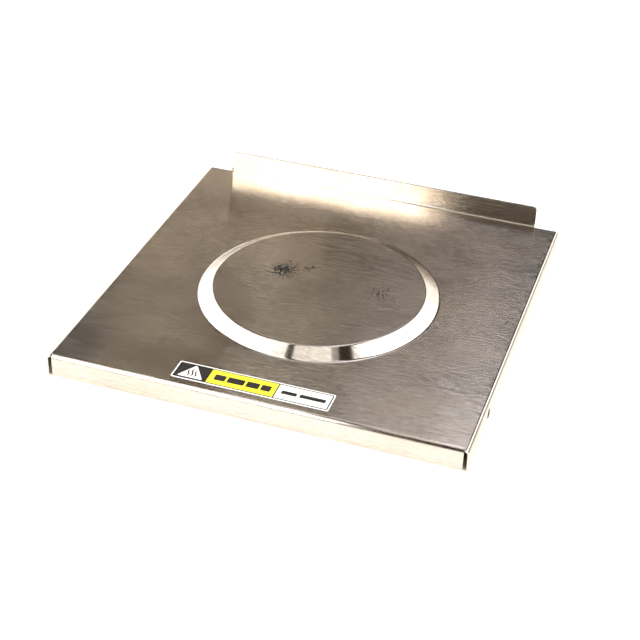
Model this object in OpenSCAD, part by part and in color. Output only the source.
// Hot plate burner: a folded stainless top plate with a raised heating disc.
// A mica element, its insulation and a clamping pan hang from one stud under the disc.
// Millimetres. +Z is up, +X is to the right and +Y is to the rear.
// The origin is at the middle of the footprint, on the plane that the flanges stand on.

/* [Top plate] */
// Width over the side flanges
plate_w = 203.2; // [160:0.1:300]
// Depth from the front flange's face to the rear edge of the flat sheet
plate_d = 201.1; // [160:0.1:300]
// Height of the flat sheet's top surface above the flanges' lower edges
flange_h = 11.2; // [11:0.1:30]
// Sheet thickness
sheet_t = 0.9; // [0.6:0.05:1.5]
// Inside radius of the folds
fold_r = 1.2; // [0.6:0.1:2.5]
// Width of the slit between the front flange's end and each side flange
corner_slit_w = 1.7; // [1.3:0.1:4]

/* [Raised disc] */
// Diameter of the flat top, where it would meet the slope with no blend
disc_top_d = 106.4; // [88:0.1:130]
// Width of the slope seen from above, with no blends
disc_slope_w = 7.2; // [6:0.1:12]
// Rise of the disc above the sheet
disc_rise = 4.1; // [3:0.1:6]
// Distance from the front face to the disc's centre
disc_from_front = 97; // [80:0.5:150]
// Blend radius at the slope's foot
foot_blend_r = 3; // [1:0.1:5]
// Blend radius at the disc's rim
rim_blend_r = 2.2; // [1.6:0.1:5]

/* [Rear upstand] */
// Width of the upstand
upstand_w = 176; // [100:1:260]
// Height of the upstand above the sheet
upstand_h = 11.6; // [6:0.1:40]
// Radius of its two top corners
upstand_corner_r = 1.6; // [0.5:0.1:4]

/* [Side screw holes] */
// Hole diameter
side_hole_d = 4.8; // [3:0.1:6]
// Distance of the holes from the front face
side_hole_from_front = 37.5; // [20:1:100]
// Height of the holes above the flanges' lower edges
side_hole_z = 5.3; // [4:0.1:20]

/* [Label] */
// Label length
label_w = 76.2; // [40:0.1:120]
// Label height
label_d = 12.7; // [8:0.1:30]
// Label thickness
label_t = 0.15; // [0.1:0.01:0.4]
// Corner radius of the label
label_corner_r = 0.8; // [0.2:0.1:3]
// Distance from the front face to the label's near edge
label_from_front = 5.4; // [3:0.1:15]
// Offset of the label's middle from the plate's middle line
label_x = -3; // [-30:0.5:30]

/* [Element stack] */
// Thickness of the aluminium heat spreader
spreader_t = 3; // [2:0.1:5]
// Gap between the spreader's edge and the disc's virtual rim
spreader_edge_gap = 1.7; // [1:0.1:5]
// Thickness of each mica sheet and of the winding card
mica_t = 0.5; // [0.3:0.05:1]
// Gap between the mica's edge and the spreader's edge
mica_edge_gap = 0.7; // [0.2:0.1:3]
// Thickness of the ceramic fibre pad
pad_t = 2.2; // [1.5:0.1:6]
// Clearance between the pad's edge and the foot of the pan's fold
pad_edge_gap = 0.2; // [0.1:0.1:3]

/* [Heating ribbon] */
// Width of the resistance ribbon
ribbon_w = 1.6; // [0.8:0.1:3]
// Thickness of the resistance ribbon
ribbon_t = 0.12; // [0.05:0.01:0.3]
// Distance between turns
ribbon_pitch = 4.4; // [3:0.1:8]
// Bare length of card in front of the last turn
card_front_l = 9; // [6:0.5:20]
// Gap between the two cards
card_gap = 8; // [7:0.5:14]
// Depth of the notch that holds each turn at the card's curved edge
card_notch = 1.2; // [0.6:0.1:3]
// Clearance beside the ribbon in its notch
card_notch_gap = 0.2; // [0.1:0.05:0.5]
// Width of the band of the ribbon's eye around a terminal screw
ribbon_eye_w = 1.1; // [0.6:0.1:1.5]

/* [Retainer pan] */
// Distance from the mica's edge out to the pan's outside
pan_reach = 5.2; // [4.5:0.1:8]
// Thickness of the pan's sheet
pan_t = 0.8; // [0.5:0.05:1.5]
// Inside radius of the fold between floor and wall
pan_fold_r = 1.4; // [0.5:0.1:3]
// Diameter of the stiffening bead's middle
pan_bead_d = 38; // [30:0.5:42]
// Width of the bead
pan_bead_w = 7; // [4:0.5:9]
// Depth of the bead, downward
pan_bead_h = 1.1; // [0.5:0.1:2]
// How far the pan's rim stays below the level of the flat sheet's underside
pan_wall_gap = 0.3; // [0.2:0.1:2]

/* [Clamp stud, washers and nut] */
// Stud thread diameter
stud_d = 4.8; // [4:0.1:6]
// Diameter of the stud's welded foot
stud_foot_d = 7; // [6:0.1:9]
// Thickness of the stud's welded foot
stud_foot_t = 0.8; // [0.5:0.1:2]
// Clearance added to a hole's diameter where the stud passes
stud_hole_gap = 0.8; // [0.3:0.1:2]
// Diameter of the plain washer
washer_d = 15; // [12:0.5:20]
// Thickness of the plain washer
washer_t = 0.9; // [0.6:0.1:1.6]
// Diameter of the spring washer
spring_washer_d = 9; // [8:0.1:12]
// Thickness of the spring washer
spring_washer_t = 1.1; // [0.8:0.1:1.6]
// Width of the split in the spring washer
spring_washer_split = 1; // [0.6:0.1:2]
// Clamp nut's width across flats
nut_af = 9.5; // [8:0.1:12]
// Clamp nut's height
nut_h = 3.2; // [2.4:0.1:5]
// Length of stud that shows past the nut
stud_end = 0.6; // [0.4:0.1:3]

/* [Terminals] */
// Distance of each terminal from the middle line
terminal_x = 16; // [12:0.5:25]
// Distance of the terminals behind the disc's centre
terminal_back = 30; // [20:0.5:34]
// Terminal screw's thread diameter
terminal_d = 4; // [3:0.1:4.5]
// Diameter of the terminal screw's head
terminal_head_d = 7; // [6:0.1:8]
// Height of the terminal screw's head
terminal_head_h = 1.2; // [0.8:0.1:1.6]
// Clearance around the screw's head in mica and spreader, on the diameter
terminal_head_gap = 3; // [2:0.1:5]
// Clear depth above the screw's head, in the spreader's pocket
terminal_pocket_gap = 0.6; // [0.4:0.1:1.2]
// Clearance added to the diameter of holes that the screw passes
terminal_hole_gap = 0.2; // [0.1:0.05:0.6]
// Diameter of the ceramic bush's body
bush_d = 8.8; // [7:0.1:11]
// Clearance around the bush in the pan and the pad, on the diameter
bush_gap = 0.4; // [0.2:0.1:1]
// Diameter of the ceramic bush's flange
bush_flange_d = 12.6; // [11:0.1:15]
// Thickness of the ceramic bush's flange
bush_flange_t = 1.8; // [0.8:0.1:3]
// Diameter of the blade's ring end
blade_ring_d = 9; // [8:0.1:11]
// Width of the blade
blade_w = 6.35; // [4.75:0.05:6.35]
// Thickness of the blade
blade_t = 0.8; // [0.5:0.1:0.8]
// Length of the blade from the screw's axis
blade_l = 21; // [16:0.5:30]
// Width of the shoulder between ring and blade
shoulder_w = 7.8; // [7:0.1:9]
// Length of the shoulder from the screw's axis
shoulder_l = 12; // [9:0.5:16]
// Diameter of the terminal washers
terminal_washer_d = 8.6; // [8:0.1:10]
// Thickness of the terminal washers
terminal_washer_t = 0.5; // [0.4:0.1:1]
// Terminal nuts' width across flats
terminal_nut_af = 7; // [6:0.1:8]
// Terminal nuts' height
terminal_nut_h = 2.4; // [1.8:0.1:3.2]
// Length of screw that shows past a terminal nut
terminal_end = 0.6; // [0.3:0.1:2]

/* [Earth point] */
// Distance of the earth stud left of the middle line
earth_x = 76; // [68:0.5:90]
// Distance of the earth stud in front of the sheet's rear edge
earth_from_back = 34; // [20:0.5:60]
// Diameter of the toothed washer
tooth_washer_d = 8.4; // [7.5:0.1:10]
// Thickness of the toothed washer
tooth_washer_t = 0.6; // [0.4:0.1:1]
// Number of teeth on it
tooth_count = 10; // [6:1:14]
// Length of the flat part of the earth blade, from the stud's axis
earth_flat_l = 7; // [6:0.5:10]
// Length of its sloping blade
earth_blade_l = 9; // [6:0.5:12]
// Slope of its blade below the sheet
earth_blade_angle = 30; // [15:5:35]
// Length of stud that shows past the earth nut
earth_end = 1; // [0.5:0.1:3]

/* [Hidden] */

$fn = 96;
cut = 1;            // how far a cutter runs past what it cuts
arc_steps = 8;      // straight steps in one drawn arc
bead_steps = 16;    // straight steps across the pan's bead
head_chamfer = 0.35; // chamfer on screw heads and feet

// Folds
fold_out_r = fold_r + sheet_t;
half_w = plate_w / 2;
flat_half_w = half_w - fold_out_r;
front_flange_half_w = half_w - sheet_t - corner_slit_w;

// Depth positions
front_y = -(plate_d + fold_out_r) / 2;
rear_y = front_y + plate_d;
disc_y = front_y + disc_from_front;
terminal_y = disc_y + terminal_back;

// Raised disc
disc_z = flange_h + disc_rise;
slope_angle = atan(disc_rise / disc_slope_w);
rim_arc_x = disc_top_d / 2 - rim_blend_r * tan(slope_angle / 2);
foot_arc_x = disc_top_d / 2 + disc_slope_w + foot_blend_r * tan(slope_angle / 2);
disc_patch_r = foot_arc_x + 1;

// Stack under the disc, from the top down
disc_under_z = disc_z - sheet_t;
spreader_z = disc_under_z - spreader_t;
upper_mica_z = spreader_z - mica_t;
card_z = upper_mica_z - ribbon_t - mica_t;
lower_mica_z = card_z - ribbon_t - mica_t;
pad_z = lower_mica_z - pad_t;
pan_z = pad_z - pan_t;
washer_z = pan_z - washer_t;
spring_washer_z = washer_z - spring_washer_t;
nut_z = spring_washer_z - nut_h;
stud_z = nut_z - stud_end;
spreader_r = disc_top_d / 2 - spreader_edge_gap;
mica_r = spreader_r - mica_edge_gap;
pan_r = mica_r + pan_reach;
pan_top_z = flange_h - sheet_t - pan_wall_gap;
pad_r = pan_r - pan_t - pan_fold_r - pad_edge_gap;
stud_hole_d = stud_d + stud_hole_gap;

// Terminals, from the pan down
bush_z = pan_z - bush_flange_t;
blade_z = bush_z - blade_t;
terminal_washer_z = blade_z - terminal_washer_t;
terminal_nut_z = terminal_washer_z - terminal_nut_h;
terminal_z = terminal_nut_z - terminal_end;
terminal_hole_d = terminal_d + terminal_hole_gap;
terminal_head_hole_d = terminal_head_d + terminal_head_gap;
bush_hole_d = bush_d + bush_gap;

// Winding: each card is wound from its terminal towards the front
card_x = card_gap / 2;
ribbon_top_z = card_z + mica_t;
ribbon_low_z = card_z - ribbon_t;
first_turn_y = terminal_y - terminal_head_hole_d / 2 - ribbon_w;
ribbon_turns = floor((first_turn_y - (disc_y - mica_r + card_front_l)) / ribbon_pitch);
last_turn_y = first_turn_y - ribbon_turns * ribbon_pitch;
ribbon_eye_d = terminal_hole_d + 2 * ribbon_eye_w;
ribbon_tail_y = terminal_y - (terminal_hole_d + ribbon_eye_w) / 2;

// Earth point, from the sheet down
earth_y = rear_y - earth_from_back;
sheet_under_z = flange_h - sheet_t;
earth_washer_z = sheet_under_z - tooth_washer_t;
earth_blade_z = earth_washer_z - blade_t;
earth_nut_z = earth_blade_z - terminal_nut_h;
earth_z = earth_nut_z - earth_end;

// Points on an arc about c, from angle a0 to a1
function arc(c, r, a0, a1) =
    [for (i = [0:arc_steps]) let (a = a0 + (a1 - a0) * i / arc_steps)
        c + r * [cos(a), sin(a)]];

function reversed(list) = [for (i = [len(list) - 1:-1:0]) list[i]];

// Half the length of a chord of the card's circle, at a distance from its centre
function half_chord(r, d) = sqrt(max(r * r - d * d, 0));

// Distance from the middle line to the outer end of turn i
function turn_x(i) = let (y = first_turn_y - i * ribbon_pitch)
    half_chord(mica_r, max(abs(y - disc_y), abs(y - ribbon_pitch - disc_y)) + ribbon_w) - card_notch;

// Shapes that several pieces share

module disc(d, h, z) {
    translate([0, 0, z]) cylinder(d = d, h = h);
}

// A washer or a plain ring with a round hole
module ring(d, hole_d, h, z) {
    difference() {
        disc(d, h, z);
        disc(hole_d, h + 2 * cut, z - cut);
    }
}

// A hexagon nut with chamfered corners and a plain bore
module hex_nut(af, bore_d, h, z) {
    corner_r = af / sqrt(3);
    face_r = 0.475 * af;
    past_r = corner_r + 0.5;
    drop = (past_r - face_r) * tan(30);
    difference() {
        intersection() {
            translate([0, 0, z]) rotate(30) cylinder(r = corner_r, h = h, $fn = 6);
            translate([0, 0, z]) rotate_extrude() polygon([
                [0, 0], [face_r, 0], [past_r, drop], [past_r, h - drop], [face_r, h], [0, h]
            ]);
        }
        disc(bore_d, h + 2 * cut, z - cut);
    }
}

// A pair of pieces, one at each terminal
module at_terminal(side) {
    translate([side * terminal_x, terminal_y, 0]) children();
}

module at_disc() {
    translate([0, disc_y, 0]) children();
}

module at_earth() {
    translate([-earth_x, earth_y, 0]) children();
}

// The folded sheet and its label

// Section through the raised disc, from its centre to a ring of flat sheet
module disc_section() {
    rim_c = [rim_arc_x, disc_z - rim_blend_r];
    foot_c = [foot_arc_x, flange_h + foot_blend_r];
    polygon(concat(
        [[0, disc_z]],
        arc(rim_c, rim_blend_r, 90, 90 - slope_angle),
        arc(foot_c, foot_blend_r, 270 - slope_angle, 270),
        [[disc_patch_r, flange_h], [disc_patch_r, flange_h - sheet_t]],
        reversed(arc(foot_c, foot_blend_r + sheet_t, 270 - slope_angle, 270)),
        reversed(arc(rim_c, rim_blend_r - sheet_t, 90, 90 - slope_angle)),
        [[0, disc_z - sheet_t]]
    ));
}

// Section through a flange and its fold: the outer face is on x = 0 and the sheet is at x < 0
module flange_section() {
    translate([-fold_out_r, flange_h - fold_out_r]) intersection() {
        difference() {
            circle(r = fold_out_r);
            circle(r = fold_r);
        }
        square(fold_out_r);
    }
    translate([-sheet_t, 0]) square([sheet_t, flange_h - fold_out_r]);
}

module side_flange(side) {
    translate([side * half_w, rear_y, 0]) rotate([90, 0, 0])
        mirror([side < 0 ? 1 : 0, 0, 0]) linear_extrude(plate_d) flange_section();
}

module front_flange() {
    translate([-front_flange_half_w, front_y, 0]) rotate([90, 0, 90])
        linear_extrude(2 * front_flange_half_w) mirror([1, 0]) flange_section();
}

// The flat sheet, open where the disc is formed
module flat_sheet() {
    translate([0, 0, flange_h - sheet_t]) linear_extrude(sheet_t) difference() {
        translate([-flat_half_w, front_y + fold_out_r])
            square([2 * flat_half_w, plate_d - fold_out_r]);
        translate([0, disc_y]) circle(r = disc_patch_r);
    }
}

module upstand() {
    fold_c_z = flange_h + fold_r;
    translate([-upstand_w / 2, rear_y, fold_c_z]) rotate([90, 0, 90])
        linear_extrude(upstand_w) intersection() {
            difference() {
                circle(r = fold_out_r);
                circle(r = fold_r);
            }
            translate([0, -fold_out_r]) square(fold_out_r);
        }
    translate([0, rear_y + fold_out_r, 0]) rotate([90, 0, 0]) linear_extrude(sheet_t) {
        translate([-upstand_w / 2, fold_c_z])
            square([upstand_w, upstand_h - fold_r - upstand_corner_r]);
        translate([-upstand_w / 2 + upstand_corner_r, fold_c_z])
            square([upstand_w - 2 * upstand_corner_r, upstand_h - fold_r]);
        for (side = [-1, 1]) translate([
            side * (upstand_w / 2 - upstand_corner_r),
            flange_h + upstand_h - upstand_corner_r
        ]) circle(r = upstand_corner_r);
    }
}

module top_plate() {
    color([0.62, 0.59, 0.55]) difference() {
        union() {
            flat_sheet();
            at_disc() rotate_extrude() disc_section();
            for (side = [-1, 1]) side_flange(side);
            front_flange();
            upstand();
        }
        translate([-half_w - cut, front_y + side_hole_from_front, side_hole_z])
            rotate([0, 90, 0]) cylinder(d = side_hole_d, h = plate_w + 2 * cut);
    }
}

module warning_label() {
    color([0.95, 0.85, 0.2])
    translate([label_x, front_y + label_from_front + label_d / 2, flange_h])
        linear_extrude(label_t) {
            square([label_w - 2 * label_corner_r, label_d], center = true);
            square([label_w, label_d - 2 * label_corner_r], center = true);
            for (x = [-1, 1], y = [-1, 1])
                translate([x * (label_w / 2 - label_corner_r), y * (label_d / 2 - label_corner_r)])
                    circle(r = label_corner_r);
        }
}

// The element stack, from the stud to the nut

module clamp_stud() {
    color([0.7, 0.7, 0.7]) at_disc() {
        disc(stud_foot_d, stud_foot_t, disc_under_z - stud_foot_t);
        translate([0, 0, stud_z + head_chamfer])
            cylinder(d = stud_d, h = disc_under_z - stud_foot_t - stud_z - head_chamfer);
        translate([0, 0, stud_z])
            cylinder(d1 = stud_d - 2 * head_chamfer, d2 = stud_d, h = head_chamfer);
    }
}

module heat_spreader() {
    pocket_h = upper_mica_z + terminal_head_h + terminal_pocket_gap - spreader_z;
    color([0.8, 0.81, 0.83]) difference() {
        at_disc() disc(2 * spreader_r, spreader_t, spreader_z);
        at_disc() disc(stud_foot_d + stud_hole_gap, spreader_t + 2 * cut, spreader_z - cut);
        for (side = [-1, 1]) at_terminal(side)
            disc(terminal_head_hole_d, pocket_h + cut, spreader_z - cut);
    }
}

// A round mica sheet with holes for the stud and the terminals
module mica_disc(z, terminal_hole) {
    difference() {
        at_disc() ring(2 * mica_r, stud_hole_d, mica_t, z);
        for (side = [-1, 1]) at_terminal(side)
            disc(terminal_hole, mica_t + 2 * cut, z - cut);
    }
}

module upper_mica() {
    color([0.72, 0.62, 0.42]) mica_disc(upper_mica_z, terminal_head_hole_d);
}

module lower_mica() {
    color([0.72, 0.62, 0.42]) mica_disc(lower_mica_z, terminal_hole_d);
}

// One of two cards, drawn for the right side: the inner edge is straight and the
// curved edge has a notch for each turn
module winding_card(side) {
    notch_w = ribbon_w + 2 * card_notch_gap;
    color([0.78, 0.68, 0.48]) mirror([side < 0 ? 1 : 0, 0, 0]) difference() {
        at_disc() disc(2 * mica_r, mica_t, card_z);
        translate([card_x - 2 * mica_r, disc_y - mica_r - cut, card_z - cut])
            cube([2 * mica_r, 2 * (mica_r + cut), mica_t + 2 * cut]);
        at_terminal(1) disc(terminal_hole_d, mica_t + 2 * cut, card_z - cut);
        for (i = [0:ribbon_turns - 1])
            translate([turn_x(i), first_turn_y - i * ribbon_pitch - notch_w / 2, card_z - cut])
                cube([mica_r, notch_w, mica_t + 2 * cut]);
    }
}

// A straight piece of ribbon, flat on the card
module ribbon_strip(x0, x1, y, z) {
    translate([x0, y - ribbon_w / 2, z]) cube([x1 - x0, ribbon_w, ribbon_t]);
}

// The ribbon's pass over a card's edge, from its underside to its top
module ribbon_edge(x, y) {
    translate([x, y - ribbon_w / 2, ribbon_low_z])
        cube([ribbon_t, ribbon_w, mica_t + 2 * ribbon_t]);
}

// One turn about the right card: straight on top, slanting to the next turn below
module ribbon_turn(i) {
    y = first_turn_y - i * ribbon_pitch;
    next_y = y - ribbon_pitch;
    outer = turn_x(i);
    inner = i == 0 ? terminal_x - ribbon_w / 2 : card_x - ribbon_t;
    ribbon_strip(inner, outer + ribbon_t, y, ribbon_top_z);
    ribbon_edge(outer, y);
    translate([0, 0, ribbon_low_z]) linear_extrude(ribbon_t) polygon([
        [outer + ribbon_t, y - ribbon_w / 2], [outer + ribbon_t, y + ribbon_w / 2],
        [card_x - ribbon_t, next_y + ribbon_w / 2], [card_x - ribbon_t, next_y - ribbon_w / 2]
    ]);
    if (i < ribbon_turns - 1) ribbon_edge(card_x - ribbon_t, next_y);
}

// The run from the first turn to the eye under the terminal's head
module ribbon_tail() {
    translate([terminal_x - ribbon_w / 2, first_turn_y - ribbon_w / 2, ribbon_top_z])
        cube([ribbon_w, ribbon_tail_y - first_turn_y + ribbon_w / 2, ribbon_t]);
    at_terminal(1) ring(ribbon_eye_d, terminal_hole_d, ribbon_t, ribbon_top_z);
}

module heating_ribbon() {
    color([0.55, 0.53, 0.5]) {
        for (side = [0, 1]) mirror([side, 0, 0]) {
            for (i = [0:ribbon_turns - 1]) ribbon_turn(i);
            ribbon_tail();
        }
        ribbon_strip(-card_x, card_x, last_turn_y, ribbon_low_z);
    }
}

module insulation_pad() {
    color([0.93, 0.92, 0.88]) difference() {
        at_disc() ring(2 * pad_r, stud_hole_d, pad_t, pad_z);
        for (side = [-1, 1]) at_terminal(side)
            disc(bush_hole_d, pad_t + 2 * cut, pad_z - cut);
    }
}

// Depth of the pan's bead below its floor, at a distance from the bead's middle
function bead_depth(x) = pan_bead_h / 2 * (1 + cos(360 * x / pan_bead_w));

// Section through the pan: a floor with one bead, a fold and a low wall
module pan_section() {
    floor_z = pad_z;
    bead = [for (i = [0:bead_steps]) let (x = (i / bead_steps - 0.5) * pan_bead_w)
        [pan_bead_d / 2 + x, -bead_depth(x)]];
    fold_c = [pan_r - pan_t - pan_fold_r, floor_z + pan_fold_r];
    polygon(concat(
        [[0, floor_z]],
        [for (p = bead) p + [0, floor_z]],
        arc(fold_c, pan_fold_r, 270, 360),
        [[pan_r - pan_t, pan_top_z], [pan_r, pan_top_z]],
        reversed(arc(fold_c, pan_fold_r + pan_t, 270, 360)),
        reversed([for (p = bead) p + [0, floor_z - pan_t]]),
        [[0, floor_z - pan_t]]
    ));
}

module retainer_pan() {
    color([0.66, 0.67, 0.68]) difference() {
        at_disc() rotate_extrude() pan_section();
        at_disc() disc(stud_hole_d, pan_t + 2 * cut, pan_z - cut);
        for (side = [-1, 1]) at_terminal(side)
            disc(bush_hole_d, pan_t + 2 * cut, pan_z - cut);
    }
}

module clamp_washer() {
    color([0.75, 0.75, 0.76]) at_disc() ring(washer_d, stud_d + 0.5, washer_t, washer_z);
}

module clamp_spring_washer() {
    color([0.5, 0.5, 0.52]) at_disc() difference() {
        ring(spring_washer_d, stud_d + 0.4, spring_washer_t, spring_washer_z);
        translate([0, -spring_washer_split / 2, spring_washer_z - cut])
            cube([spring_washer_d, spring_washer_split, spring_washer_t + 2 * cut]);
    }
}

module clamp_nut() {
    color([0.78, 0.78, 0.8]) at_disc() hex_nut(nut_af, stud_d, nut_h, nut_z);
}

// The two terminals

// The head lies on the ribbon's eye and the shank runs down through the bush
module terminal_screw(side) {
    color([0.8, 0.78, 0.72]) at_terminal(side) {
        disc(terminal_head_d, terminal_head_h, upper_mica_z);
        disc(terminal_d, upper_mica_z - terminal_z, terminal_z);
    }
}

module ceramic_bush(side) {
    color([0.96, 0.95, 0.9]) at_terminal(side) difference() {
        union() {
            disc(bush_d, lower_mica_z - pan_z, pan_z);
            disc(bush_flange_d, bush_flange_t, bush_z);
        }
        disc(terminal_hole_d, lower_mica_z - bush_z + 2 * cut, bush_z - cut);
    }
}

// Flat outline of a blade that runs to the rear from its ring, with a shoulder and a bevelled tip
module blade_outline(flat_l, total_l) {
    tip = 1;
    polygon([
        [-shoulder_w / 2, 0], [-shoulder_w / 2, flat_l], [-blade_w / 2, flat_l],
        [-blade_w / 2, total_l - tip], [-blade_w / 2 + tip, total_l],
        [blade_w / 2 - tip, total_l], [blade_w / 2, total_l - tip],
        [blade_w / 2, flat_l], [shoulder_w / 2, flat_l], [shoulder_w / 2, 0]
    ]);
}

module terminal_blade(side) {
    detent_d = 1.6;
    detent_from_tip = 3.8;
    color([0.86, 0.8, 0.62]) at_terminal(side) difference() {
        union() {
            disc(blade_ring_d, blade_t, blade_z);
            translate([0, 0, blade_z]) linear_extrude(blade_t) blade_outline(shoulder_l, blade_l);
        }
        disc(terminal_hole_d, blade_t + 2 * cut, blade_z - cut);
        translate([0, blade_l - detent_from_tip, 0]) disc(detent_d, blade_t + 2 * cut, blade_z - cut);
    }
}

module terminal_washers() {
    color([0.8, 0.8, 0.8]) for (side = [-1, 1]) at_terminal(side)
        ring(terminal_washer_d, terminal_hole_d, terminal_washer_t, terminal_washer_z);
}

module terminal_nuts() {
    color([0.8, 0.78, 0.72]) for (side = [-1, 1]) at_terminal(side)
        hex_nut(terminal_nut_af, terminal_d, terminal_nut_h, terminal_nut_z);
}

// The earth point

module earth_stud() {
    color([0.75, 0.6, 0.35]) at_earth() {
        disc(terminal_d, sheet_under_z - earth_z - head_chamfer, earth_z + head_chamfer);
        translate([0, 0, earth_z])
            cylinder(d1 = terminal_d - 2 * head_chamfer, d2 = terminal_d, h = head_chamfer);
    }
}

// A flat ring end on the stud, then a blade that slopes down to the rear
module earth_blade() {
    drop = blade_t * tan(earth_blade_angle / 2);
    reach = [earth_blade_l * cos(earth_blade_angle), -earth_blade_l * sin(earth_blade_angle)];
    through = [-blade_t * sin(earth_blade_angle), -blade_t * cos(earth_blade_angle)];
    tip = [drop, blade_t] + reach;
    color([0.8, 0.8, 0.78]) at_earth() difference() {
        union() {
            translate([0, 0, earth_blade_z]) linear_extrude(blade_t) {
                circle(d = blade_ring_d);
                translate([-blade_w / 2, 0]) square([blade_w, earth_flat_l]);
            }
            translate([-blade_w / 2, earth_flat_l, earth_blade_z]) rotate([90, 0, 90])
                linear_extrude(blade_w)
                    polygon([[0, 0], [0, blade_t], [drop, blade_t], tip, tip + through]);
        }
        disc(terminal_hole_d, blade_t + 2 * cut, earth_blade_z - cut);
    }
}

// A lock washer with teeth around its edge
module earth_washer() {
    tooth_w = 1.1;
    tooth_l = 1;
    color([0.72, 0.72, 0.74]) at_earth() translate([0, 0, earth_washer_z]) linear_extrude(tooth_washer_t)
        difference() {
            union() {
                circle(d = tooth_washer_d - 2 * tooth_l);
                for (i = [0:tooth_count - 1]) rotate(i * 360 / tooth_count)
                    translate([0, -tooth_w / 2]) square([tooth_washer_d / 2, tooth_w]);
            }
            circle(d = terminal_hole_d);
        }
}

module earth_nut() {
    color([0.75, 0.6, 0.35]) at_earth() hex_nut(terminal_nut_af, terminal_d, terminal_nut_h, earth_nut_z);
}

top_plate();
warning_label();
clamp_stud();
heat_spreader();
upper_mica();
winding_card(-1);  // winding_card_left
winding_card(1);  // winding_card_right
heating_ribbon();
lower_mica();
insulation_pad();
retainer_pan();
clamp_washer();
clamp_spring_washer();
clamp_nut();
terminal_screw(-1);  // terminal_screw_left
terminal_screw(1);  // terminal_screw_right
ceramic_bush(-1);  // ceramic_bush_left
ceramic_bush(1);  // ceramic_bush_right
terminal_blade(-1);  // terminal_blade_left
terminal_blade(1);  // terminal_blade_right
terminal_washers();
terminal_nuts();
earth_stud();
earth_blade();
earth_washer();
earth_nut();
